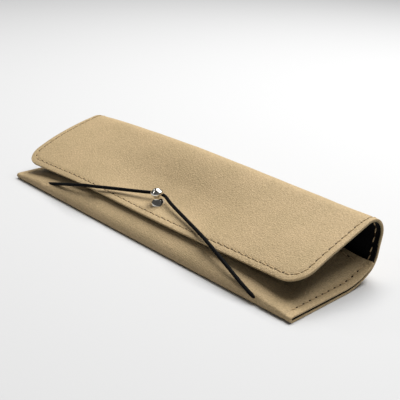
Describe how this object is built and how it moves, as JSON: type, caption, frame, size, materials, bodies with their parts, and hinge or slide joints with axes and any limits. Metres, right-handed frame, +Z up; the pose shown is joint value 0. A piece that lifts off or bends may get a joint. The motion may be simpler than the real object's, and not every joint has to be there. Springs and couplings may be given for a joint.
{
  "type": "soft pouch glasses case",
  "caption": "Soft leather pouch for folded glasses: a bulging pocket, a rolled spine and a fold-over flap that an elastic cord holds on a metal button stud.",
  "frame": {"origin": "on the table, under the middle of the closed case", "axes": "+X along the case towards its right end, +Y from the front fold to the rolled spine, +Z up"},
  "size_m": [0.17, 0.0528, 0.026],
  "materials": {
    "leather": "fine-grained beige split leather, matt",
    "board": "pale bonded-fibre stiffener, seen on the cut edges",
    "lining": "smooth black lining, low sheen",
    "thread": "beige sewing thread",
    "elastic": "black braided round elastic",
    "nickel": "polished nickel plate"
  },
  "bodies": {
    "base": {"base_panel": "leather", "base_board": "board", "base_lining": "lining", "pocket_panel": "leather", "pocket_lining": "lining", "left_side_stitching": "thread", "right_side_stitching": "thread", "mouth_stitching": "thread", "left_knot": "elastic", "right_knot": "elastic"},
    "spine": {"spine_panel": "leather", "spine_board": "board", "spine_lining": "lining", "left_spine_stitching": "thread", "right_spine_stitching": "thread"},
    "flap": {"flap_panel": "leather", "flap_board": "board", "flap_lining": "lining", "flap_stitching": "thread", "button_stud": "nickel", "stud_screw": "nickel"},
    "elastic": {"elastic_cord": "elastic"}
  },
  "joints": [
    {"name": "spine_fold", "type": "hinge", "parent": "base", "child": "spine", "pos_m": [0, 0.02359, 0.00775], "axis": [-1, 0, 0], "range_deg": [0, 50]},
    {"name": "flap_fold", "type": "hinge", "parent": "spine", "child": "flap", "pos_m": [0, 0.02299, 0.02422], "axis": [-1, 0, 0], "range_deg": [0, 120]},
    {"name": "elastic_swing", "type": "hinge", "parent": "base", "child": "elastic", "pos_m": [0, -0.0256, 0.003], "axis": [1, 0, 0], "range_deg": [0, 130], "deforming": ["elastic_cord"]}
  ],
  "couplings": [
    {"joint": "spine_fold", "follows": "flap_fold", "ratio": 0.41667},
    {"joint": "elastic_swing", "follows": "flap_fold", "ratio": 1.0833}
  ]
}
